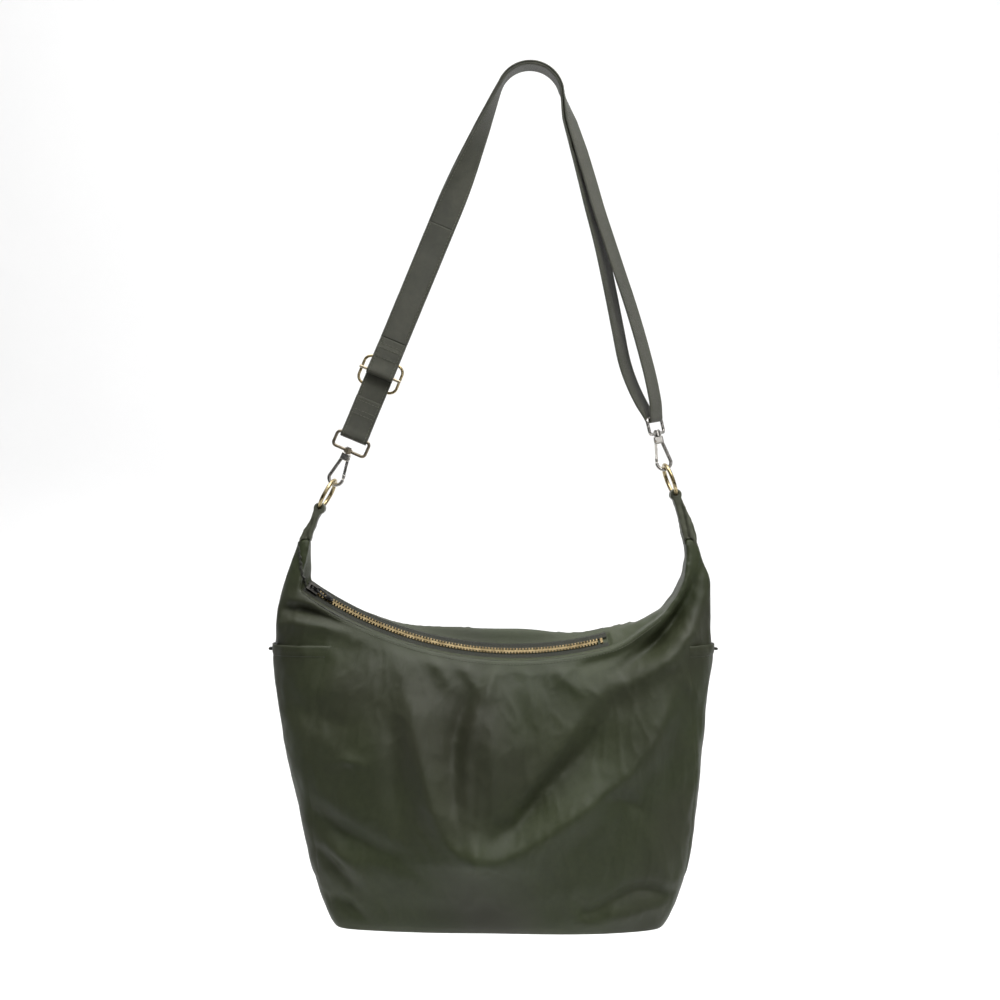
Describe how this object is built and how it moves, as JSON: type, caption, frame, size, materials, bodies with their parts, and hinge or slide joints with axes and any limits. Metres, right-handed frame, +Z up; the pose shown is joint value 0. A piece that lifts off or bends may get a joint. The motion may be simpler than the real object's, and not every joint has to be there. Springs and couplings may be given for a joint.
{
  "type": "crossbody purse",
  "caption": "Soft nylon hobo crossbody purse with a curved zip mouth, two D-wing ends, ring and swivel hook attachments and a long adjustable webbing strap.",
  "frame": {"origin": "underside of the strap at the top of its arch, where it rests on a peg, at mid-width of the strap", "axes": "+X towards the right of the front, +Y from the front to the back, +Z up"},
  "size_m": [0.3957, 0.1242, 0.7722],
  "materials": {
    "nylon": "satin",
    "webbing": "matte",
    "lining": "satin",
    "zip_tape": "matte",
    "gold_brass": "polished",
    "antique_brass": "satin",
    "nickel": "satin",
    "dark_metal": "satin"
  },
  "bodies": {
    "strap": {"strap_webbing": "webbing", "strap_adjusting_run": "webbing"},
    "adjuster": {"adjuster_frame": "gold_brass", "adjuster_centre_bar": "antique_brass", "strap_sewn_end": "webbing"},
    "left_eye": {"left_swivel_eye": "antique_brass"},
    "left_hook": {"left_hook_body": "nickel", "left_gate_pin": "antique_brass", "left_gate_spring": "nickel"},
    "left_gate": {"left_hook_gate": "nickel"},
    "right_eye": {"right_swivel_eye": "nickel"},
    "right_hook": {"right_hook_body": "nickel", "right_gate_pin": "antique_brass", "right_gate_spring": "nickel"},
    "right_gate": {"right_hook_gate": "nickel"},
    "bag": {"base_panel": "nylon", "front_panel": "nylon", "back_panel": "nylon", "left_gusset": "nylon", "right_gusset": "nylon", "left_wing": "nylon", "right_wing": "nylon", "lining": "lining", "lining_pocket": "lining", "left_side_pocket": "nylon", "right_side_pocket": "nylon", "left_ring_tab": "nylon", "right_ring_tab": "nylon", "zip_tape_front": "zip_tape", "zip_tape_back": "zip_tape", "zip_teeth_front": "gold_brass", "zip_teeth_back": "gold_brass", "zip_bottom_stop": "gold_brass"},
    "left_ring_body": {"left_ring": "gold_brass"},
    "right_ring_body": {"right_ring": "gold_brass"},
    "slider": {"zip_slider": "nickel"},
    "pull": {"zip_pull": "dark_metal"}
  },
  "joints": [
    {"name": "adjuster_slide", "type": "slide", "parent": "strap", "child": "adjuster", "axis": [0.3828, 0, 0.9238], "range_m": [0, 0.08], "deforming": ["strap_adjusting_run"]},
    {"name": "left_eye_tilt", "type": "hinge", "parent": "strap", "child": "left_eye", "pos_m": [-0.1581, 0, -0.3323], "axis": [0.9238, 0, -0.3828], "range_deg": [-0.5, 0.5]},
    {"name": "left_hook_swivel", "type": "hinge", "parent": "left_eye", "child": "left_hook", "pos_m": [-0.1581, 0, -0.3323], "axis": [-0.4067, 0, -0.9135], "range_deg": [-25, 25]},
    {"name": "left_gate_press", "type": "hinge", "parent": "left_hook", "child": "left_gate", "pos_m": [-0.16384, 0, -0.35232], "axis": [0, 1, 0], "range_deg": [0, 18], "stiffness_Nm_per_rad": 0.02, "springref_deg": -17.19},
    {"name": "right_eye_tilt", "type": "hinge", "parent": "strap", "child": "right_eye", "pos_m": [0.1113, 0, -0.3159], "axis": [0.4872, 0.866, 0.1125], "range_deg": [-0.5, 0.5]},
    {"name": "right_hook_swivel", "type": "hinge", "parent": "right_eye", "child": "right_hook", "pos_m": [0.1113, 0, -0.3159], "axis": [0.225, 0, -0.9744], "range_deg": [-25, 25]},
    {"name": "right_gate_press", "type": "hinge", "parent": "right_hook", "child": "right_gate", "pos_m": [0.11311, 0, -0.33664], "axis": [0, -1, 0], "range_deg": [0, 18], "stiffness_Nm_per_rad": 0.02, "springref_deg": -17.19},
    {"name": "bag_rock", "type": "hinge", "parent": "strap", "child": "bag", "pos_m": [-0.17718, 0, -0.37515], "axis": [0.999, 0, 0.0453], "range_deg": [-20, 20]},
    {"name": "left_ring_spin", "type": "hinge", "parent": "bag", "child": "left_ring_body", "pos_m": [-0.18228, 0, -0.38405], "axis": [-0.8779, 0.0872, 0.4708], "continuous": true},
    {"name": "right_ring_spin", "type": "hinge", "parent": "bag", "child": "right_ring_body", "pos_m": [0.12582, 0, -0.37109], "axis": [-0.9361, -0.0872, -0.3407], "continuous": true},
    {"name": "zip_travel", "type": "hinge", "parent": "bag", "child": "slider", "pos_m": [-0.0135, 0, -0.2002], "axis": [0, -1, 0], "range_deg": [0, 45.4], "deforming": ["zip_teeth_front", "zip_teeth_back"]},
    {"name": "pull_lift", "type": "hinge", "parent": "slider", "child": "pull", "pos_m": [-0.1937, -0.00276, -0.46736], "axis": [-0.3594, -0.766, -0.5329], "range_deg": [0, 100]}
  ]
}
